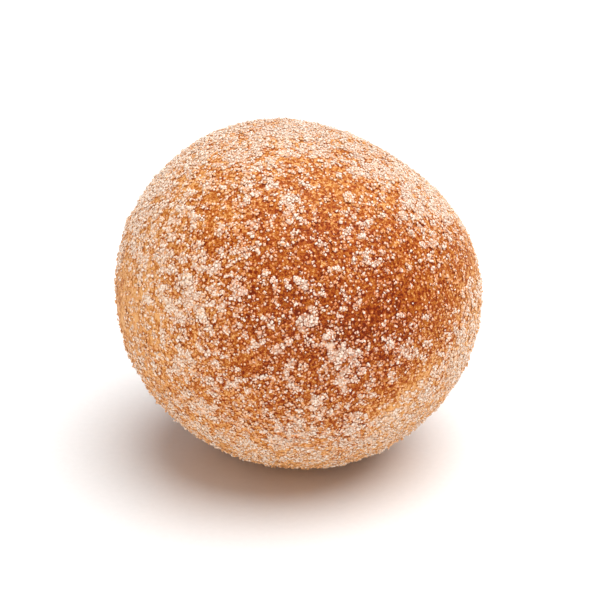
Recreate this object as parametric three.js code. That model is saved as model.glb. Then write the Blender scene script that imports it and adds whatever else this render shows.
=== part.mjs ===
// Quark ball: a fried ball of curd-cheese dough, rolled in sugar. One solid piece of food.
//
// Frame: millimetres, +Z up. The origin is the middle of the underside of the ball's bounding
// box, on the surface that the ball rests on. +X is the longer way across, and -Y is the front,
// the side that shows the well browned face.
//
// Shape: a round of dough that swelled unevenly in the fat. Its radius is a mean radius with
// smooth low waves on it, so that it is a little oval, a little three-sided and a little
// four-sided seen from the front, and slightly drawn in from front to back. A few broad, shallow
// swells and dimples make it uneven elsewhere. At the bottom it has settled onto a small flat
// spot, which keeps it from rolling.

import * as THREE from "three";
import { mergeVertices } from "three/addons/utils/BufferGeometryUtils.js";

// ---- Driving dimensions ----

const MEAN_RADIUS = 24.3;

// The front axis is the middle of the browned face: level with the front, tipped up by this much.
const FRONT_TIP_DEG = 28;

// How far the surface waves out and in as it goes once round the front axis. "sides" is the
// number of swellings, "height" how far each stands out, and "at" where the first one is, in
// degrees from +X towards the top.
const WAVES_ROUND_FRONT = [
  { sides: 2, height: 0.9, at: -22 },
  { sides: 3, height: 0.36, at: 7 },
  { sides: 4, height: 0.18, at: 19 },
];

// How much shorter the ball is along the front axis than its mean radius says.
const DRAWN_IN_FRONT_TO_BACK = 0.25;

// Broad swells (height over 0) and dimples (under 0). "turn" is the direction in degrees from
// +X round to +Y, "lift" the angle above the horizon, and "spread" the angular size.
const SWELLS = [
  { turn: -62, lift: 2, height: -0.3, spread: 24 },
  { turn: -118, lift: 34, height: 0.22, spread: 28 },
  { turn: -75, lift: 58, height: 0.2, spread: 20 },
  { turn: -112, lift: -12, height: -0.18, spread: 18 },
  { turn: 38, lift: 24, height: -0.34, spread: 26 },
  { turn: 96, lift: -8, height: 0.42, spread: 34 },
  { turn: 152, lift: 40, height: -0.28, spread: 24 },
  { turn: 70, lift: 66, height: 0.18, spread: 22 },
  { turn: 128, lift: -46, height: -0.2, spread: 22 },
];

// Settling: how deep the resting spot is pressed in, and how near the floor a point of the side
// may come before it is drawn down into the spot, which gives the spot a clean edge.
const PRESSED_IN = 0.7;
const CLEAN_EDGE = 0.15;

// Facets along each edge of the starting icosahedron.
const FACETS_PER_EDGE = 16;

// ---- Shape ----

const radians = THREE.MathUtils.degToRad;

// The unit vector that points "turn" round from +X and "lift" above the horizon.
function direction(turn, lift) {
  const level = Math.cos(radians(lift));
  return new THREE.Vector3(
    level * Math.cos(radians(turn)),
    level * Math.sin(radians(turn)),
    Math.sin(radians(lift)),
  );
}

const FRONT = direction(-90, FRONT_TIP_DEG);
const ACROSS = new THREE.Vector3(1, 0, 0);
const UPWARD = new THREE.Vector3().crossVectors(ACROSS, FRONT).negate();

// The waves that run round the front axis. Each fades to nothing at the axis itself, by a power
// of the sine of the angle from it, and so leaves no crease there.
function wavesRoundFront(way) {
  const awayFromAxis = Math.sqrt(Math.max(0, 1 - way.dot(FRONT) ** 2));
  const turn = Math.atan2(way.dot(UPWARD), way.dot(ACROSS));
  return WAVES_ROUND_FRONT.reduce(
    (sum, { sides, height, at }) =>
      sum + height * awayFromAxis ** sides * Math.cos(sides * (turn - radians(at))),
    0,
  );
}

// One swell or dimple: a bell curve of the angle between this direction and its middle.
function swell(way, { turn, lift, height, spread }) {
  const angle = way.angleTo(direction(turn, lift));
  return height * Math.exp(-((angle / radians(spread)) ** 2));
}

function radiusAlong(way) {
  const drawnIn = DRAWN_IN_FRONT_TO_BACK * way.dot(FRONT) ** 2;
  const swells = SWELLS.reduce((sum, each) => sum + swell(way, each), 0);
  return MEAN_RADIUS - drawnIn + wavesRoundFront(way) + swells;
}

// The height of a point once the dough has settled. What would lie under the floor, or barely
// over it, goes flat.
function settled(height) {
  return height < CLEAN_EDGE ? 0 : height;
}

function doughGeometry() {
  const sphere = new THREE.IcosahedronGeometry(1, FACETS_PER_EDGE - 1);
  sphere.deleteAttribute("normal");
  sphere.deleteAttribute("uv");
  const geometry = mergeVertices(sphere, 1e-5);

  const places = geometry.getAttribute("position");
  const point = new THREE.Vector3();
  for (let i = 0; i < places.count; i++) {
    point.fromBufferAttribute(places, i).normalize();
    point.multiplyScalar(radiusAlong(point));
    places.setXYZ(i, point.x, point.y, point.z);
  }

  geometry.computeBoundingBox();
  const middle = geometry.boundingBox.getCenter(new THREE.Vector3());
  const floor = geometry.boundingBox.min.z + PRESSED_IN;
  geometry.translate(-middle.x, -middle.y, -floor);
  for (let i = 0; i < places.count; i++) places.setZ(i, settled(places.getZ(i)));

  geometry.computeVertexNormals();
  return geometry;
}

// ---- Material and part ----

function friedDough() {
  return new THREE.MeshStandardMaterial({
    color: new THREE.Color().setRGB(0.78, 0.45, 0.2, THREE.SRGBColorSpace),
    roughness: 0.62,
    metalness: 0,
  });
}

const dough = new THREE.Mesh(doughGeometry(), friedDough());
dough.name = "dough_ball";

const quarkBall = new THREE.Group();
quarkBall.add(dough);

export default quarkBall;
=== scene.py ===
# %% [markdown]
# # A quark ball rolled in sugar
#
# A quark ball is a spoonful of dough, made with quark (fresh curd cheese), that is dropped into
# hot fat. It swells, rolls over, browns, and is rolled in granulated sugar while it is still
# warm. What one sees is a thin fried crust, uneven in shape and in colour, and tens of thousands
# of sugar crystals, each about a third of a millimetre across.
#
# The construction file holds the ball as one plain solid of the right size. This lesson loads it,
# gives it a crust with fine relief and a fried finish, and strews real crystals over it. Lengths
# are in metres, so most of them are written in millimetres and multiplied by `mm`.

# %% Load the construction model
import math
import bpy
import numpy as np
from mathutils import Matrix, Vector, noise


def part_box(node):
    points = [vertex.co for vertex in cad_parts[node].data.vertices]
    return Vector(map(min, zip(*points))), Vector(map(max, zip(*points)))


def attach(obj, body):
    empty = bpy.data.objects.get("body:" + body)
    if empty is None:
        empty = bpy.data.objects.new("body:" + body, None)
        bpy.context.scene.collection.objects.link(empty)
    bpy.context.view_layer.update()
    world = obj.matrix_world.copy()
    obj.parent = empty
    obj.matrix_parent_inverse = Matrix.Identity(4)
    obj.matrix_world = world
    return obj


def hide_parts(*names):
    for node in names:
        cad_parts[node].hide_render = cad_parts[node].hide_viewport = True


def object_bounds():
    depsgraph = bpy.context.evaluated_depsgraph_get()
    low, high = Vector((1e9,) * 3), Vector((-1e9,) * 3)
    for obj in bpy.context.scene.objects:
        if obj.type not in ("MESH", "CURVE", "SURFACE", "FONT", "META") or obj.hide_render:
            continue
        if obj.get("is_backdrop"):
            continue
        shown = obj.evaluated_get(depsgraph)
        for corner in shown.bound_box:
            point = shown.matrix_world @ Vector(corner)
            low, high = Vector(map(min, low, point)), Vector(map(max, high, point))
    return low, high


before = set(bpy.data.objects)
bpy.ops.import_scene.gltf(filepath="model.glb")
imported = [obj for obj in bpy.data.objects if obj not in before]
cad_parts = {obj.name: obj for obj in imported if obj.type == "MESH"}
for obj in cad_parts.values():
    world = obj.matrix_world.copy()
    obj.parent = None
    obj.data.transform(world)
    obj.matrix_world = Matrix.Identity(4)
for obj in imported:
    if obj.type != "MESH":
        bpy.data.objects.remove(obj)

mm = 0.001
cad_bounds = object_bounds()
BALL = "dough_ball"
low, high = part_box(BALL)
middle = (low + high) / 2
size = high - low
print("the ball is", [round(side / mm, 1) for side in size], "mm")

# %% [markdown]
# ## Finding places on the ball
#
# The browning and the sugar differ from place to place, so places need names. A direction from
# the middle of the ball is enough: how far it is turned from +X round to +Y, and how far it is
# lifted above the horizon. The front of the ball is at a turn of -90 degrees. A patch is then a
# direction, an angular size and a strength, with a soft edge, and one function adds up a whole
# list of patches.


# %% Directions and soft patches
def direction(turn, lift):
    """The unit vector for a turn round from +X and a lift above the horizon, in degrees."""
    turn, lift = math.radians(turn), math.radians(lift)
    level = math.cos(lift)
    return np.array([level * math.cos(turn), level * math.sin(turn), math.sin(lift)])


def ways_out(places):
    """The unit vectors from the middle of the ball to these places."""
    out = np.asarray(places) - np.array(middle)
    return out / np.linalg.norm(out, axis=1, keepdims=True)


def patches(ways, marks):
    """The sum of soft patches, each (turn, lift, angular size, strength), along these ways."""
    total = np.zeros(len(ways))
    for turn, lift, spread, strength in marks:
        angle = np.degrees(np.arccos(np.clip(ways @ direction(turn, lift), -1, 1)))
        total += strength * np.exp(-((angle / spread) ** 2))
    return total


def waviness(places, wavelength, seed):
    """Smooth noise from about -1 to 1 at these places, with bumps about one wavelength apart."""
    # Each seed looks at another part of the same endless noise.
    shift = Vector((seed, 2.7 * seed, -1.3 * seed))
    return np.array([noise.noise(Vector(p) / wavelength + shift) for p in places])


def waves(places, layers):
    """The sum of several noises at these places, each (strength, wavelength, seed)."""
    return sum(strength * waviness(places, length, seed) for strength, length, seed in layers)


# %% [markdown]
# ## The crust's shape
#
# The construction solid has the ball's size and its slow swells, but its facets are too coarse to
# look at. The crust is a finer copy of it. One could remesh the ball, or sculpt it. Here the copy
# is welded and smoothed by a Subdivision Surface modifier, which keeps the size and the flat
# resting spot. Every vertex then moves along its normal by a little noise: slow unevenness, finer
# puckers where the skin dried and shrank, and small pits where steam bubbles burst. This is real
# shape, so it shows along the outline too. Relief finer than the mesh is left to the finish.


# %% A finer copy of the ball
SAME_PLACE = 0.001 * mm


def finer_copy(node, name, levels):
    """A new object with the node's surface, welded and subdivided this many times."""
    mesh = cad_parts[node].data.copy()
    mesh.materials.clear()
    piece = bpy.data.objects.new(name, mesh)
    bpy.context.scene.collection.objects.link(piece)
    weld = piece.modifiers.new("weld", "WELD")
    weld.merge_threshold = SAME_PLACE
    smooth = piece.modifiers.new("smooth", "SUBSURF")
    smooth.levels = smooth.render_levels = levels
    evaluated = piece.evaluated_get(bpy.context.evaluated_depsgraph_get())
    piece.data = bpy.data.meshes.new_from_object(evaluated)
    piece.data.name = name
    piece.modifiers.clear()
    return piece


def numbers(items, attribute, width):
    """One attribute of all items of a mesh, as an array with this many columns."""
    found = np.empty(len(items) * width, np.float32)
    items.foreach_get(attribute, found)
    return found.reshape(-1, width).astype(float)


crust = finer_copy(BALL, "fried_crust", levels=2)
skin = numbers(crust.data.vertices, "co", 3)
print("the crust has", len(skin), "vertices and", len(crust.data.polygons), "faces")

# %% Unevenness, puckers and pits
UNEVEN_AND_PUCKERED = [(0.09 * mm, 7 * mm, 1), (0.045 * mm, 2.4 * mm, 2)]
WRINKLE_DEPTH, WRINKLE_SPACING = 0.03 * mm, 1.3 * mm
PIT_DEPTH, PIT_SPACING = 0.12 * mm, 3.2 * mm
PIT_RADIUS = 0.11
CELL_HAS_PIT = 0.62
FADE_HEIGHT = 0.6 * mm


def pits(places):
    """1 in the middle of each pit and 0 outside it.

    The pits are in the cells of a Voronoi pattern. Each cell draws a number, and some have a pit.
    """
    depth = np.zeros(len(places))
    for i, place in enumerate(places):
        distances, centres = noise.voronoi(Vector(place) / PIT_SPACING)
        # The factor spreads the middles out, so that hardly any two draw the same number.
        has_pit = noise.cell(centres[0] * 7.3) > CELL_HAS_PIT
        if has_pit and distances[0] < PIT_RADIUS:
            depth[i] = 1 - (distances[0] / PIT_RADIUS) ** 2
    return depth


relief = waves(skin, UNEVEN_AND_PUCKERED)
relief -= WRINKLE_DEPTH * (1 - 2 * np.abs(waviness(skin, WRINKLE_SPACING, seed=3)))
relief -= PIT_DEPTH * pits(skin)

# The relief fades out over the resting spot, and nothing reaches under the floor.
clear_of_floor = np.clip(skin[:, 2] / FADE_HEIGHT, 0, 1)
crust_normals = numbers(crust.data.vertices, "normal", 3)
skin = skin + crust_normals * (relief * clear_of_floor)[:, None]
skin[:, 2] = np.maximum(skin[:, 2], 0)
crust.data.vertices.foreach_set("co", skin.astype(np.float32).ravel())
crust.data.shade_smooth()
crust.data.update()
print("the relief runs from", round(relief.min() / mm, 2), "to", round(relief.max() / mm, 2), "mm")

# %% [markdown]
# ## Where the crust is brown
#
# A quark ball floats, so each side fries in turn. The two sides that lay in the fat are brown,
# and a paler belt runs between them, where the ball came out of the fat. The brown sides here
# face the front and the back, so the belt shows along the outline and underneath. The browning is
# worked out for each vertex and stored on the mesh as an attribute, and the finish reads it. An
# attribute is handy here because the sugar needs it too: a clear crystal shows the crust through
# it.

# %% Browning of each vertex
BROWN_SIDES = [(-72, 18, 62, 0.86), (104, -10, 62, 0.82)]
BROWN_SPOTS = [
    (-74, 12, 9, 0.20),
    (-63, 10, 9, 0.14),
    (-92, 22, 12, 0.10),
    (-100, 12, 12, 0.08),
    (-50, 22, 14, 0.10),
    (-95, 58, 18, 0.16),
    (-112, 29, 7, 0.16),
    (-128, 42, 9, 0.12),
    (-15, 21, 9, 0.20),
    (60, 10, 22, 0.20),
    (130, 12, 18, 0.18),
    (88, -34, 16, 0.15),
]
GOLDEN_SPOTS = [
    (-46, -10, 8, -0.30),
    (-54, -17, 7, -0.30),
    (-62, -22, 7, -0.20),
    (-150, 4, 16, -0.20),
    (-118, 46, 16, -0.10),
    (-60, 62, 18, -0.12),
    (20, 34, 18, -0.20),
    (-22, -8, 16, -0.40),
    (-45, -36, 20, -0.40),
    (-100, -52, 24, -0.25),
]
UNEVEN_BROWNING = [(0.16, 4.5 * mm, 4), (0.14, 1.8 * mm, 5)]
MOST_BROWN = 1.2

browning = patches(ways_out(skin), BROWN_SIDES + BROWN_SPOTS + GOLDEN_SPOTS)
browning = np.clip(browning + waves(skin, UNEVEN_BROWNING), 0, MOST_BROWN)
print("browning averages", round(float(browning.mean()), 2))

# %% [markdown]
# ## How thick the sugar lies
#
# Sugar sticks where the crust is damp, and rolling the ball rubs it off in some places and packs
# it in others. At every scale there is too much or too little of it: whole sides that are white
# or nearly bare, patches a few millimetres wide, and gaps between single crystals. So how much
# sugar a place gets is a sum again, of chosen drifts and bare patches and of noise. The same sum
# is used twice: for each vertex, where it gives the crust its fine dust, and for each face, where
# it says how likely a crystal is to fall there. In thin places the crystals gather in small
# groups with bare crust between them, so the noise counts for more there.

# %% Sugar at any place
DRIFTS = [
    (-139, 23, 13, 0.45),
    (-124, 24, 11, 0.40),
    (-126, 9, 12, 0.32),
    (-136, 2, 14, 0.25),
    (-146, 36, 14, 0.30),
    (172, 38, 22, 0.85),
    (150, 70, 24, 0.75),
    (-112, 44, 7, 0.10),
    (20, 80, 22, 0.84),
    (0, 50, 22, 1.00),
    (-14, 36, 12, 0.25),
    (-24, -10, 14, 0.85),
    (-50, -24, 16, 0.50),
    (-72, -21, 6, 0.32),
    (-80, -34, 22, 0.50),
    (-112, -32, 20, 0.38),
    (-84, 18, 6, 0.25),
    (-80, 3, 10, 0.12),
    (-76, 56, 12, 0.06),
    (-117, 48, 9, 0.22),
    (-97, 20, 6, 0.12),
    (-121, -2, 8, 0.14),
    (-60, 6, 9, 0.42),
    (-64, 30, 9, 0.20),
    (-51, 39, 9, 0.14),
    (-84, 7, 8, 0.16),
    (-130, -28, 20, 0.30),
    (110, 40, 26, 0.33),
    (165, 2, 20, 0.30),
    (90, -30, 30, 0.32),
    (40, 20, 24, 0.60),
]
BARE_PATCHES = [
    (-71, 20, 9, -0.16),
    (-58, 17, 10, -0.20),
    (-46, 20, 12, -0.16),
    (-54, -10, 6, -0.30),
    (-63, -20, 5, -0.30),
    (-165, 13, 6, -0.42),
    (-170, 0, 8, -0.50),
    (-96, -63, 15, -0.48),
    (176, -38, 24, -0.30),
    (-148, -50, 14, -0.20),
    (60, -72, 24, -0.12),
    (-110, 3, 11, -0.30),
    (-112, -14, 9, -0.08),
    (-12, 22, 11, -0.25),
    (-136, 42, 10, -0.12),
    (-90, 70, 14, -0.08),
    (-59, -9, 8, -0.20),
    (-38, 26, 12, -0.14),
    (-95, 58, 16, -0.04),
    (-84, 34, 7, -0.16),
    (-134, 46, 10, -0.36),
    (-110, 32, 7, -0.12),
    (-62, 62, 11, -0.40),
    (-50, 68, 9, -0.25),
    (-20, 82, 8, -0.20),
    (-156, 30, 7, -0.12),
    (-138, 36, 7, -0.16),
    (-135, 9, 9, -0.32),
    (-128, 5, 8, -0.18),
    (-15, 24, 9, -0.26),
    (70, 12, 18, -0.35),
    (140, 8, 14, -0.40),
    (20, 56, 14, -0.30),
]
USUAL_SUGAR = 0.33
UNEVEN_SUGAR = [(0.8, 4.0 * mm, 6), (1.3, 1.7 * mm, 7), (2.3, 0.8 * mm, 8)]
GATHERS = 0.25
LEAST_SUGAR, MOST_SUGAR = 0.01, 2.0


def sugar_at(places):
    """How thick the sugar lies at these places, where 1 is about one full layer."""
    thick = USUAL_SUGAR + patches(ways_out(places), DRIFTS + BARE_PATCHES)
    gathers = GATHERS * (1 - np.clip(thick, 0, 1))
    thick = thick * np.exp(waves(places, UNEVEN_SUGAR) * (1 + gathers) - gathers / 2)
    return np.clip(thick, LEAST_SUGAR, MOST_SUGAR)


# %% Browning and sugar on the crust
def store(piece, name, values, domain="POINT"):
    """Stores one number for each vertex or face of a piece, for its finish to read."""
    attribute = piece.data.attributes.new(name, "FLOAT", domain)
    attribute.data.foreach_set("value", np.asarray(values, np.float32).ravel())


store(crust, "browning", browning)
store(crust, "dusting", sugar_at(skin))

face_middles = numbers(crust.data.polygons, "center", 3)
face_areas = numbers(crust.data.polygons, "area", 1)[:, 0]
face_normals = numbers(crust.data.polygons, "normal", 3)
face_corners = numbers(crust.data.loops, "vertex_index", 1).astype(int).reshape(-1, 4)
face_ways = ways_out(face_middles)
face_browning = browning[face_corners].mean(1)
face_sugar = sugar_at(face_middles)
print("sugar on", round(100 * float((face_sugar > 0.5).mean())), "% of the faces")

# %% [markdown]
# ## Small tools for finishes
#
# A finish in Blender is a tree of nodes, joined from output to input. One could place the nodes by
# hand in the Shader Editor. In a script, a small function for each kind of node keeps the recipe
# short: it adds one node, fills in or joins its inputs, and returns its result for the next step.


# %% Colours and new materials
def as_linear(red, green, blue):
    """A screen colour, with numbers from 0 to 255, as the light values that Cycles uses."""
    parts = (channel / 255 for channel in (red, green, blue))
    return [p / 12.92 if p < 0.04045 else ((p + 0.055) / 1.055) ** 2.4 for p in parts] + [1]


def new_material(name):
    """An empty material with its node tree, its Principled shader and its Output."""
    material = bpy.data.materials.new(name)
    material.use_nodes = True
    tree = material.node_tree
    return material, tree, tree.nodes["Principled BSDF"]


# %% Joining and reckoning
def set_or_link(tree, socket, value):
    """Gives an input a plain value, or joins it to another node's output."""
    if isinstance(value, bpy.types.NodeSocket):
        tree.links.new(value, socket)
    else:
        socket.default_value = value


def maths(tree, operation, *values):
    """A Math node on values or sockets, and its result."""
    node = tree.nodes.new("ShaderNodeMath")
    node.operation = operation
    for socket, value in zip(node.inputs, values):
        set_or_link(tree, socket, value)
    return node.outputs[0]


def swing(tree, value, amount):
    """A value from 0 to 1 turned into one from -amount to amount."""
    return maths(tree, "MULTIPLY_ADD", value, 2 * amount, -amount)


def stretched(tree, value, before, after=(0.0, 1.0)):
    """A Map Range node: the range `before` of the value becomes the range `after`."""
    node = tree.nodes.new("ShaderNodeMapRange")
    for socket, number in zip(node.inputs, (value, *before, *after)):
        set_or_link(tree, socket, number)
    return node.outputs[0]


# %% What varies over a surface
def stored(tree, name):
    """The number that is stored on the mesh under this name."""
    node = tree.nodes.new("ShaderNodeAttribute")
    node.attribute_name = name
    return node.outputs["Fac"]


def noise_at(tree, spacing, detail=2.0, roughness=0.5):
    """A Noise Texture on the piece's own coordinates, with this distance between its bumps."""
    place = tree.nodes.get("place") or tree.nodes.new("ShaderNodeTexCoord")
    place.name = "place"
    texture = tree.nodes.new("ShaderNodeTexNoise")
    texture.inputs["Scale"].default_value = 1 / spacing
    texture.inputs["Detail"].default_value = detail
    texture.inputs["Roughness"].default_value = roughness
    tree.links.new(place.outputs["Object"], texture.inputs["Vector"])
    return texture.outputs["Fac"]


def openness(tree, reach):
    """1 in the open, and less where something else lies within this reach."""
    node = tree.nodes.new("ShaderNodeAmbientOcclusion")
    node.samples = 6
    node.inputs["Distance"].default_value = reach
    return node.outputs["AO"]


# %% Mixing colours
def ramp(tree, fac, stops):
    """A Color Ramp on fac, with (position, colour) stops."""
    node = tree.nodes.new("ShaderNodeValToRGB")
    elements = node.color_ramp.elements
    while len(elements) < len(stops):
        elements.new(0.5)
    for element, (position, colour) in zip(elements, stops):
        element.position, element.color = position, colour
    tree.links.new(fac, node.inputs[0])
    return node.outputs["Color"]


def blended(tree, amount, first, second):
    """A Mix node: the first colour where the amount is 0 and the second where it is 1."""
    node = tree.nodes.new("ShaderNodeMix")
    node.data_type = "RGBA"
    set_or_link(tree, node.inputs["Factor"], amount)
    for name, colour in (("A", first), ("B", second)):
        sockets = [s for s in node.inputs if s.name == name and s.type == "RGBA"]
        set_or_link(tree, sockets[0], colour)
    return [s for s in node.outputs if s.type == "RGBA"][0]


# %% [markdown]
# ## The fried finish
#
# Fried crust is matt with a faint sheen of fat. Its colour runs from a pale tan through gold and
# orange to a red brown, and it is mottled at every scale: blotches some millimetres wide, specks
# as fine as the pores, and golden spots in the brown. The pale belt is the calmest. An image
# texture could carry all that, but it would fit only one ball. Here a colour ramp turns the
# browning into crust colours, and noise moves the browning up and down before it reaches the
# ramp, so that the mottling always stays within colours that a crust can have.
#
# Right beside a crystal the crust is painted a shade darker. This is painted shade in the gaps
# where crystals stand close, together with the darker crust where sugar draws water out of it.
# An Ambient Occlusion node finds those places: it tells how open a spot is, and anything that
# stands close to the spot makes it less open. The pale belt darkens least.

# %% The crust's colours and mottling
CRUST_COLOURS = [
    (0.00, as_linear(220, 164, 106)),
    (0.14, as_linear(197, 134, 68)),
    (0.28, as_linear(175, 105, 43)),
    (0.50, as_linear(156, 76, 21)),
    (0.72, as_linear(144, 58, 12)),
    (0.88, as_linear(127, 44, 7)),
    (1.00, as_linear(102, 31, 5)),
]
BLOTCH_SPACING, BLOTCH_STRENGTH = 1.3 * mm, 0.30
MOTTLE_SPACING, MOTTLE_STRENGTH = 0.45 * mm, 2.0
BROWNING_COUNTS = 0.82
LEAST_MOTTLED = 0.35
GAP_SHADE_REACH, GAP_SHADE_DARKENS = 0.3 * mm, 0.35

fried, tree, shader = new_material("fried crust")
fried_here = stored(tree, "browning")
blotches = swing(tree, noise_at(tree, BLOTCH_SPACING, detail=4), BLOTCH_STRENGTH)
browned = maths(tree, "MULTIPLY_ADD", fried_here, BROWNING_COUNTS, blotches)
well_fried = stretched(tree, fried_here, (0.0, 0.5), (LEAST_MOTTLED, 1.0))
mottles = noise_at(tree, MOTTLE_SPACING, detail=3, roughness=0.8)
mottles = swing(tree, mottles, MOTTLE_STRENGTH)
browned = maths(tree, "MULTIPLY_ADD", mottles, well_fried, browned)
# Painted shade: the crust is darkened where crystals stand close to it.
painted_gap_shade = stretched(tree, openness(tree, GAP_SHADE_REACH), (0.3, 1.0), (GAP_SHADE_DARKENS, 0.0))
browned = maths(tree, "MULTIPLY_ADD", painted_gap_shade, well_fried, browned)
crust_colour = ramp(tree, browned, CRUST_COLOURS)
print("noise and water move the browning through", len(CRUST_COLOURS), "crust colours")

# %% Golden spots in the brown
GOLDEN_CRUST = as_linear(176, 102, 32)
GOLDEN_SPACING, MOST_GOLDEN = 0.6 * mm, 0.75

golden = noise_at(tree, GOLDEN_SPACING, detail=3, roughness=0.75)
golden = stretched(tree, golden, (0.54, 0.64), (0.0, MOST_GOLDEN))
golden = maths(tree, "MULTIPLY", golden, stretched(tree, fried_here, (0.1, 0.4)))
crust_colour = blended(tree, golden, crust_colour, GOLDEN_CRUST)
print("golden spots lie about", GOLDEN_SPACING / mm, "mm apart")

# %% [markdown]
# ## Sugar dust on the crust
#
# Rolling rubs some of the crystals to dust. It is too fine to model, so it is part of the crust's
# finish: a veil of frost where the sugar lies thickest, and single grains everywhere. The grains
# are the cells of a Voronoi pattern. Each cell has a random colour, and its red says whether
# there is a grain in it: more often where more sugar lies. Its green says how pale the grain is.

# %% Frost and grains of dust
FROST = as_linear(246, 216, 192)
MOST_FROST = 0.85
GRAIN_SPACING = 0.42 * mm
SHARE_OF_GRAINS = (0.12, 0.85)
GRAIN_EDGE, GRAIN_MIDDLE = 0.46, 0.28
WARM_GRAIN = as_linear(214, 130, 72)
PALE_GRAIN = as_linear(240, 190, 148)

dusted_here = stored(tree, "dusting")
frosted = stretched(tree, dusted_here, (0.8, 1.8), (0.0, MOST_FROST))
crust_colour = blended(tree, frosted, crust_colour, FROST)

cells = tree.nodes.new("ShaderNodeTexVoronoi")
cells.inputs["Scale"].default_value = 1 / GRAIN_SPACING
tree.links.new(tree.nodes["place"].outputs["Object"], cells.inputs["Vector"])
lottery = tree.nodes.new("ShaderNodeSeparateColor")
tree.links.new(cells.outputs["Color"], lottery.inputs["Color"])
share = stretched(tree, dusted_here, (0.0, 1.0), SHARE_OF_GRAINS)
drawn = maths(tree, "LESS_THAN", lottery.outputs["Red"], share)
round_grain = stretched(tree, cells.outputs["Distance"], (GRAIN_EDGE, GRAIN_MIDDLE))
grain = maths(tree, "MULTIPLY", round_grain, drawn)
grain_colour = blended(tree, lottery.outputs["Green"], WARM_GRAIN, PALE_GRAIN)
tree.links.new(blended(tree, grain, crust_colour, grain_colour), shader.inputs["Base Color"])
print("grains of dust lie about", GRAIN_SPACING / mm, "mm apart")

# %% Sheen of fat and fine relief
SHEEN_SPACING = 2.5 * mm
GLOSSIEST, MATTEST = 0.45, 0.7
PORE_SPACING, PORE_DEPTH = 0.3 * mm, 0.08 * mm

sheen_of_fat = noise_at(tree, SHEEN_SPACING, detail=2)
sheen_of_fat = stretched(tree, sheen_of_fat, (0.3, 0.7), (GLOSSIEST, MATTEST))
tree.links.new(sheen_of_fat, shader.inputs["Roughness"])
bump = tree.nodes.new("ShaderNodeBump")
bump.inputs["Strength"].default_value = 0.7
bump.inputs["Distance"].default_value = PORE_DEPTH
pores = noise_at(tree, PORE_SPACING, detail=3, roughness=0.6)
pores_and_grains = maths(tree, "ADD", pores, grain)
tree.links.new(pores_and_grains, bump.inputs["Height"])
tree.links.new(bump.outputs[0], shader.inputs["Normal"])
shader.inputs["IOR"].default_value = 1.42
shader.inputs["Specular IOR Level"].default_value = 0.12
crust.data.materials.append(fried)

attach(crust, "root")
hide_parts(BALL)
print("the fried finish has", len(tree.nodes), "nodes")

# %% [markdown]
# ## What a sugar crystal looks like
#
# A sugar crystal is a flat block with slanting ends. The larger ones have bevelled long edges,
# which makes six sides and two ends, and the smaller ones are seen as bright specks, for which a
# skewed block of six faces is enough. Each crystal gets its own lengths, slant and chipped
# corners, so that no two are alike.

# %% Two shapes of crystal, each as its corners and its faces
# The corners of the block are counted along x, then along y, then along z.
BLOCK_CORNERS = np.array([(x, y, z) for z in (-1, 1) for y in (-1, 1) for x in (-1, 1)], float)
BLOCK_FACES = [(0, 2, 3, 1), (4, 5, 7, 6), (0, 1, 5, 4), (1, 3, 7, 5), (3, 2, 6, 7), (2, 0, 4, 6)]
BLOCK = (BLOCK_CORNERS, BLOCK_FACES)

# Corners 0 to 5 of the tablet are one end and 6 to 11 the other, and six long faces join them.
SIX = range(6)
LONG_EDGES = [(math.cos(math.pi * k / 3), 1.1 * math.sin(math.pi * k / 3)) for k in SIX]
TABLET_CORNERS = np.array([(end, y, z) for end in (-1, 1) for y, z in LONG_EDGES], float)
TABLET_FACES = [tuple(SIX), tuple(11 - k for k in SIX)]
TABLET_FACES += [((k + 1) % 6, k, k + 6, (k + 1) % 6 + 6) for k in SIX]
TABLET = (TABLET_CORNERS, TABLET_FACES)
print("a block has", len(BLOCK_FACES), "faces and a tablet", len(TABLET_FACES))

# %% [markdown]
# ## Strewing the crystals
#
# Blender can scatter instances with Geometry Nodes, but the crystals would then pass through one
# another. Here they fall one by one. A crystal that lands clear of the others lies on the crust,
# half pressed in. One that lands on others mostly rolls off, and now and then stays on top. That
# makes single crystals, chains and thick patches in the way that real sugar does. A grid of small
# cells keeps the search for neighbours fast. The crystals of one kind are joined into one mesh.

# %% Where each crystal comes to rest
rng = np.random.default_rng(20)
# A cell is wider than two crystals reach, so that only the cells next door need a look.
CELL = 0.45 * mm
TOUCHING = 0.55
CRYSTAL_HEIGHT = 0.38
DEEPEST_HEAP = 0.25 * mm
MOST_ROUNDS = 6
heap = {}


def top_of_heap(place, reach):
    """How high the crystals that lie within reach of this place come, or 0 if there are none."""
    top = 0.0
    cx, cy, cz = (int(part // CELL) for part in place)
    for x in (cx - 1, cx, cx + 1):
        for y in (cy - 1, cy, cy + 1):
            for z in (cz - 1, cz, cz + 1):
                for other, other_reach, other_top in heap.get((x, y, z), ()):
                    near = math.dist(place, other) < TOUCHING * (reach + other_reach)
                    if near and other_top > top:
                        top = other_top
    return top


def strew(count, smallest, largest, thickness, stays):
    """Lets crystals fall until this many have come to rest.

    They fall where `thickness`, a number for each face, is large. `stays` is the chance that one
    that lands on others stays there. Returns each crystal's face, place, length and height.
    """
    chance = face_areas * thickness
    resting = []
    for _ in range(MOST_ROUNDS):
        faces = rng.choice(len(chance), size=count, p=chance / chance.sum())
        slides = rng.uniform(-0.5, 0.5, (count, 3)) * np.sqrt(face_areas[faces])[:, None]
        sizes = rng.uniform(smallest, largest, count)
        holds = rng.random(count) < stays
        for face, place, length, held in zip(faces, face_middles[faces] + slides, sizes, holds):
            under = top_of_heap(place, length / 2)
            if under > DEEPEST_HEAP or (under > 0 and not held):
                continue
            cell = tuple(int(part // CELL) for part in place)
            top = under + CRYSTAL_HEIGHT * length
            heap.setdefault(cell, []).append((tuple(place), length / 2, top))
            resting.append((face, place, length, under))
            if len(resting) == count:
                return [np.array(part) for part in zip(*resting)]
    return [np.array(part) for part in zip(*resting)]


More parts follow.
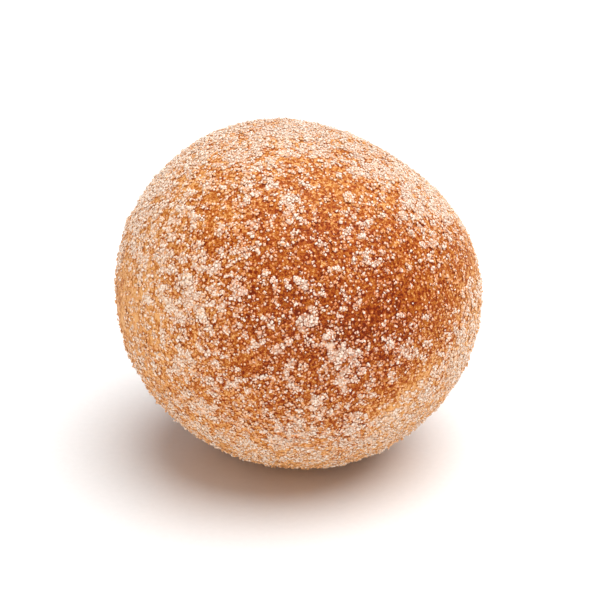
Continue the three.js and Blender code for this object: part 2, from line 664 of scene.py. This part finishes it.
# %% Turning and chipping crystals
SHORTEST_SIDES = [0.8, 0.62, 0.34]
LONGEST_SIDES = [1.1, 0.95, 0.6]
MOST_SLANT = 0.4
MOST_CHIPPED, LEAST_CHIPPED = 0.84, 1.08


def turned_frames(normals, tilt):
    """Three axes for each crystal. The third leans from the normal by about `tilt` degrees."""
    count = len(normals)
    lean = normals + rng.normal(0, math.tan(math.radians(tilt)), (count, 3))
    up = lean / np.linalg.norm(lean, axis=1, keepdims=True)
    side = np.cross(up, rng.normal(size=(count, 3)))
    side /= np.linalg.norm(side, axis=1, keepdims=True)
    return np.stack([side, np.cross(up, side), up], axis=1)


def chipped(shape_corners, count):
    """Copies of a shape, each with its own lengths, slant and chipped corners, one unit long."""
    sides = rng.uniform(SHORTEST_SIDES, LONGEST_SIDES, (count, 3)) / 2
    corners = shape_corners[None] * sides[:, None, :]
    corners[:, :, 0] += rng.uniform(-MOST_SLANT, MOST_SLANT, (count, 1)) * corners[:, :, 2]
    return corners * rng.uniform(MOST_CHIPPED, LEAST_CHIPPED, (count, len(shape_corners), 1))


# %% [markdown]
# ## A place on the map for every facet
#
# Other programs get the finish as a picture that is wrapped round the piece, and each facet needs
# a place of its own on it. Automatic unwrapping is slow for so many facets and leaves some of
# them as slivers. So they are laid out one by one, each on a small square, in rows like stamps on
# a sheet.


# %% Laying out the facets
STAMP_RADIUS = 0.42


def lay_out_facets(mesh, sides):
    """Gives each facet, which has this many sides, a square of its own on the map."""
    across = math.ceil(math.sqrt(len(sides)))
    facet = np.repeat(np.arange(len(sides)), sides)
    first_corner = np.repeat(np.cumsum(sides) - sides, sides)
    angle = 2 * math.pi * (np.arange(len(facet)) - first_corner) / np.repeat(sides, sides)
    u = facet % across + 0.5 + STAMP_RADIUS * np.cos(angle + math.pi / 4)
    v = facet // across + 0.5 + STAMP_RADIUS * np.sin(angle + math.pi / 4)
    sheet = np.stack([u, v], 1) / across
    mesh.uv_layers.new(name="OFBake").data.foreach_set("uv", sheet.astype(np.float32).ravel())


# %% Joining the crystals
def crystal_mesh(name, shape, resting, tilt, rise):
    """One mesh of all the crystals of a kind, from where each has come to rest."""
    shape_corners, shape_faces = shape
    faces, places, sizes, unders = resting
    normals = face_normals[faces]
    count = len(places)
    corners = chipped(shape_corners, count) * sizes[:, None, None]
    corners = np.einsum("cvi,cij->cvj", corners, turned_frames(normals, tilt))
    lift = unders + rise * sizes
    corners += (places + normals * lift[:, None])[:, None, :]
    # A crystal at the edge of the resting spot lies on the floor and not in it.
    corners[:, :, 2] -= np.minimum(corners[:, :, 2].min(1), 0)[:, None]

    around = np.concatenate([np.array(face) for face in shape_faces])
    all_corners = (around[None] + np.arange(count)[:, None] * len(shape_corners)).ravel()
    sides = np.tile([len(face) for face in shape_faces], count)
    mesh = bpy.data.meshes.new(name)
    mesh.vertices.add(count * len(shape_corners))
    mesh.vertices.foreach_set("co", corners.astype(np.float32).ravel())
    mesh.loops.add(len(all_corners))
    mesh.loops.foreach_set("vertex_index", all_corners.astype(np.int32))
    mesh.polygons.add(len(sides))
    mesh.polygons.foreach_set("loop_start", (np.cumsum(sides) - sides).astype(np.int32))
    mesh.update(calc_edges=True)
    lay_out_facets(mesh, sides)
    mesh.validate()
    piece = bpy.data.objects.new(name, mesh)
    bpy.context.scene.collection.objects.link(piece)
    print(name, "has", count, "crystals and", int((sides - 2).sum()), "triangles")
    return piece


# %% [markdown]
# ## The sugar's finish
#
# A crystal is clear, so one sees the crust through it, but its scratched faces and the flaws
# inside scatter light, and some faces mirror the white surroundings. True glass would be slow,
# and it would go grey where the crystals lie thick. Here each face of a crystal gets a number,
# its dryness: at 0 it has the lightened colour of the crust below, and at 1 it is white. Painted
# shade is mixed into that number too. The faces of one crystal differ a little, which gives the
# sparkle. Single crystals show more of the crust through their sides than through their tops,
# and their sides are painted darker, as shade round each crystal. Thick drifts are whiter.
# Sugar low on the ball is painted less white and warmer, as warm shade on the underside. Where
# crystals touch, light passes from one to the next and comes out warmer, so there the dryness
# is lowered, by the same openness that darkens the crust: painted shade and painted warm light
# between the crystals.

# %% Dryness and colour
OVER_PALE_CRUST = as_linear(231, 175, 117)
OVER_BROWN_CRUST = as_linear(201, 118, 67)
DRY_SUGAR = as_linear(235, 217, 201)
SEEN_THROUGH = [(0.15, OVER_PALE_CRUST), (0.95, OVER_BROWN_CRUST)]
CONTACT_SHADE_REACH, CONTACT_SHADE_STRENGTH = 0.25 * mm, 0.6

sugared, tree, shader = new_material("granulated sugar")
seen_through = ramp(tree, stored(tree, "browning"), SEEN_THROUGH)
# Painted shade and painted warm light: faces are less white where crystals touch.
painted_contact_shade = stretched(tree, openness(tree, CONTACT_SHADE_REACH), (0.2, 0.9), (CONTACT_SHADE_STRENGTH, 0.0))
dryness_and_shade = maths(tree, "SUBTRACT", stored(tree, "dryness_and_shade"), painted_contact_shade)
tree.links.new(blended(tree, dryness_and_shade, seen_through, DRY_SUGAR), shader.inputs["Base Color"])
shader.inputs["Roughness"].default_value = 0.2
shader.inputs["IOR"].default_value = 1.54
print("the sugar's finish has", len(tree.nodes), "nodes")

# %% How dry each face of a crystal is
FACETS_DIFFER = 0.3
SIDES_PAINTED_DARKER = 0.5
SIDES_ALIKE_AT = 1.2
THICKEST_DRIFT = 1.5
WHITER_IN_DRIFTS = 0.5
PAINTED_WARM_SHADE_BELOW = 0.17
# These two are heights, where the bottom of the ball is at -1 and the top at 1.
WARM_SHADE_STARTS, WARM_SHADE_GROWS_OVER = 0.5, 0.8


def finish_crystals(piece, faces_each, faces, dryness_and_shade):
    """Stores the dryness and the browning below on each face, and gives the piece its finish."""
    count = len(faces)
    differ = rng.normal(0, FACETS_DIFFER, (count, faces_each))
    facets = numbers(piece.data.polygons, "normal", 3).reshape(count, faces_each, 3)
    facing_out = np.einsum("cfi,ci->cf", facets, face_normals[faces])
    drift = np.minimum(face_sugar[faces], THICKEST_DRIFT)
    # Painted warm shade: sugar is less white and warmer low on the ball.
    low_down = np.clip((WARM_SHADE_STARTS - face_ways[faces, 2]) / WARM_SHADE_GROWS_OVER, 0, 1)
    # Painted shade: the side faces of single crystals are made less white, a dark outline round
    # each.
    differ -= SIDES_PAINTED_DARKER * (SIDES_ALIKE_AT - drift)[:, None] * (1 - np.clip(facing_out, 0, 1))
    whiter = WHITER_IN_DRIFTS * (drift - USUAL_SUGAR) - PAINTED_WARM_SHADE_BELOW * low_down
    # The stored number mixes dryness with painted shade on the sides, low down and between
    # crystals.
    store(piece, "dryness_and_shade", np.clip((dryness_and_shade + whiter)[:, None] + differ, 0, 1), "FACE")
    store(piece, "browning", np.repeat(face_browning[faces], faces_each), "FACE")
    piece.data.materials.append(sugared)
    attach(piece, "root")


# %% [markdown]
# ## Clumps
#
# Here and there the sugar has caked into ragged little clumps, a millimetre or two wide. They are
# the whitest thing on the ball, because so many faces scatter the light. The clumps in front and
# some others are chosen, and chance adds small ones round the sides and the back.

# %% Where the clumps are
CLUMPS = [
    (-126, 62, 2.2),
    (-125, 59, 2.0),
    (-117, 55, 2.0),
    (-100, 52, 1.6),
    (-58, 57, 1.6),
    (-35, 44, 1.6),
    (-110, 26, 2.0),
    (-113, 28, 1.4),
    (-98, 30, 1.6),
    (-91, 31, 1.2),
    (-86, 18, 1.8),
    (-80, 14, 1.9),
    (-93, 12, 1.2),
    (-97, 9, 1.6),
    (-76, 5, 1.6),
    (-70, 1, 1.8),
    (-83, -9, 1.8),
    (-131, 25, 2.0),
    (-122, 16, 1.8),
    (-141, 19, 1.8),
    (60, 30, 2.6),
    (140, 36, 2.2),
    (110, 0, 2.6),
    (30, -8, 2.2),
    (170, 20, 2.4),
]
CHANCE_CLUMPS = 60
BACK_STARTS, BACK_ENDS = -30, 230
LOWEST_CLUMP = -0.95
SMALLEST_CLUMP, LARGEST_CLUMP = 0.7, 1.5
RAGGED_EDGES = [(1.6, 1.2 * mm, 9), (1.4, 0.6 * mm, 10)]
CLUMP_EDGE = 0.62

clumps = list(CLUMPS)
for _ in range(CHANCE_CLUMPS):
    turn = rng.uniform(BACK_STARTS, BACK_ENDS)
    lift = math.degrees(math.asin(rng.uniform(LOWEST_CLUMP, 1)))
    clumps.append((turn, lift, rng.uniform(SMALLEST_CLUMP, LARGEST_CLUMP)))

face_clumps = np.zeros(len(face_ways))
for turn, lift, spread in clumps:
    angle = np.degrees(np.arccos(np.clip(face_ways @ direction(turn, lift), -1, 1)))
    face_clumps = np.maximum(face_clumps, np.exp(-((angle / spread) ** 2)))
ragged = waves(face_middles, RAGGED_EDGES)
inside = face_clumps + ragged * np.sqrt(face_clumps) > CLUMP_EDGE
face_clumps = np.where(inside, face_clumps, 0)
print("clumps cover", round(100 * float((face_clumps > 0).mean()), 1), "% of the faces")

# %% [markdown]
# ## The kinds of sugar
#
# Granulated sugar is sieved, but its crystals still differ in size by a factor of three or four.
# Each kind here is one mesh, and they are strewn one after another, coarse first, so that the
# finer ones find their way into the gaps. The fine ones gather most where there is much sugar
# already. The spot that the ball rests on stays bare. How dry the crystals of a kind are follows
# a beta distribution, which is a bell between 0 and 1 that leans towards damp or towards dry.

# %% Strewing one kind after another
RESTING_HEIGHT = 0.4 * mm
on_the_side = face_middles[:, 2] > RESTING_HEIGHT
sugar_pieces = []


def sugar_kind(name, shape, count, lengths, thickness, stays, tilt, dryness_and_shade, rise=0):
    """Strews one kind of sugar, joins it into a piece and gives it its finish.

    Its crystals are `lengths` millimetres long, from the smallest to the largest. They lie where
    `thickness` is large, and `stays` is the chance that one stays on top of others. They lean by
    about `tilt` degrees and stand proud by `rise` of their length. `dryness_and_shade` is the pair
    of numbers that shapes the spread of their dryness, before painted shade is added: first for
    dry, then for damp.
    """
    smallest, largest = lengths
    resting = strew(count, smallest * mm, largest * mm, thickness * on_the_side, stays)
    piece = crystal_mesh(name, shape, resting, tilt, rise)
    faces = resting[0]
    finish_crystals(piece, len(shape[1]), faces, rng.beta(*dryness_and_shade, len(faces)))
    sugar_pieces.append(piece)


sugar_kind(
    "coarse_sugar", TABLET, count=9000, lengths=(0.36, 0.54), thickness=face_sugar,
    stays=0.25, tilt=10, dryness_and_shade=(1.7, 1.6),
)
sugar_kind(
    "caked_sugar", BLOCK, count=3500, lengths=(0.28, 0.44), thickness=face_clumps,
    stays=0.35, tilt=12, dryness_and_shade=(3.0, 1.0),
)
sugar_kind(
    "usual_sugar", BLOCK, count=16500, lengths=(0.28, 0.42), thickness=face_sugar,
    stays=0.25, tilt=12, dryness_and_shade=(1.4, 1.5),
)
sugar_kind(
    "small_sugar", BLOCK, count=16500, lengths=(0.21, 0.31), thickness=face_sugar**1.2,
    stays=0.30, tilt=15, dryness_and_shade=(1.2, 1.5),
)
sugar_kind(
    "fine_sugar", BLOCK, count=16500, lengths=(0.12, 0.22), thickness=face_sugar**1.4,
    stays=0.40, tilt=20, dryness_and_shade=(1.1, 1.6), rise=0.06,
)

# %% [markdown]
# ## Floor and light
#
# Food like this is often shown on a white board under one large soft box, a little behind it and
# to the right. The board has a slight gloss and burns out to white. The shadow is short and soft,
# and warm from light that bounces off the crust. A weak white world stands for the pale walls
# round about.
#
# Low cream cards in front and on the left would brighten the shaded side of the ball. They would
# light the board as well and wash the shadow out. So two dim, low, warm lights take their place,
# and light linking lets them light only the ball.

# %% Floor
BOARD_WIDTH = 3
BOARD_GRAIN = 0.8 * mm
BOARD_SHADES = [(0.3, as_linear(247, 247, 247)), (0.7, as_linear(250, 250, 250))]

bpy.ops.mesh.primitive_plane_add(size=BOARD_WIDTH)
floor = bpy.context.object
floor.name = "floor"
board, tree, shader = new_material("white board")
board_shade = ramp(tree, noise_at(tree, BOARD_GRAIN, detail=2), BOARD_SHADES)
tree.links.new(board_shade, shader.inputs["Base Color"])
shader.inputs["Roughness"].default_value = 0.3
floor.data.materials.append(board)
floor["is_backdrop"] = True
print("the board is", BOARD_WIDTH, "m wide")

# %% Light
WALLS = 0.37
WHITE = (1, 1, 1)
WARM = (1, 0.94, 0.86)

world = bpy.data.worlds.new("pale walls")
bpy.context.scene.world = world
world.use_nodes = True
background = world.node_tree.nodes["Background"]
background.inputs["Color"].default_value = (*WHITE, 1)
background.inputs["Strength"].default_value = WALLS


def broad_light(name, turn, lift, distance, width, height, power, tint=WHITE, lights=None):
    """An area light that faces the ball. It lights everything, or only the collection `lights`."""
    light = bpy.data.lights.new(name, "AREA")
    light.shape = "ELLIPSE"
    light.color = tint
    light.size, light.size_y = width, height
    light.energy = power
    lamp = bpy.data.objects.new(name, light)
    towards_lamp = Vector(direction(turn, lift))
    lamp.location = middle + towards_lamp * distance
    lamp.rotation_euler = (-towards_lamp).to_track_quat("-Z", "Y").to_euler()
    lamp.visible_camera = False
    lamp.light_linking.receiver_collection = lights
    bpy.context.scene.collection.objects.link(lamp)


ball_only = bpy.data.collections.new("lit by the low lights")
for piece in [crust] + sugar_pieces:
    ball_only.objects.link(piece)

broad_light("soft box", turn=18, lift=74, distance=1.2, width=1.8, height=1.8, power=28.8)
broad_light(
    "low front light", turn=-80, lift=9, distance=1.0, width=1.5, height=0.3, power=4.4,
    tint=WARM, lights=ball_only,
)
broad_light(
    "low left light", turn=-160, lift=4, distance=1.0, width=1.4, height=0.28, power=3.9,
    tint=WARM, lights=ball_only,
)

bpy.context.scene.view_settings.view_transform = "Standard"

# %% [markdown]
# ## Camera
#
# The ball is seen from in front and 28 degrees above, through a long lens, so that its outline is
# hardly changed by perspective. The lens follows from how wide the ball is and how much of the
# picture it fills.

# %% Camera
CAMERA_LIFT = 28
DISTANCE = 0.6
FILLS = 0.615
SENSOR = 36
AIM_RIGHT, AIM_DOWN = 0.2 * mm, 1.2 * mm
SUGAR_COAT = 0.6 * mm

towards_camera = Vector(direction(-90, CAMERA_LIFT))
across = Vector((1, 0, 0))
upwards = towards_camera.cross(across)
aim = middle + across * AIM_RIGHT - upwards * AIM_DOWN
camera_data = bpy.data.cameras.new("camera")
camera_data.sensor_width = SENSOR
camera_data.lens = SENSOR * DISTANCE * FILLS / (size.x + SUGAR_COAT)
camera_data.dof.use_dof = False
camera = bpy.data.objects.new("camera", camera_data)
camera.location = aim + towards_camera * DISTANCE
camera.rotation_euler = (-towards_camera).to_track_quat("-Z", "Y").to_euler()
bpy.context.scene.collection.objects.link(camera)
bpy.context.scene.camera = camera
print("the lens is", round(camera_data.lens), "mm long")

# %% Write the sizes and finish
boxes = {"cad": cad_bounds, "visual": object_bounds()}
boxes = {name: [list(map(float, corner)) for corner in box] for name, box in boxes.items()}
print(boxes)
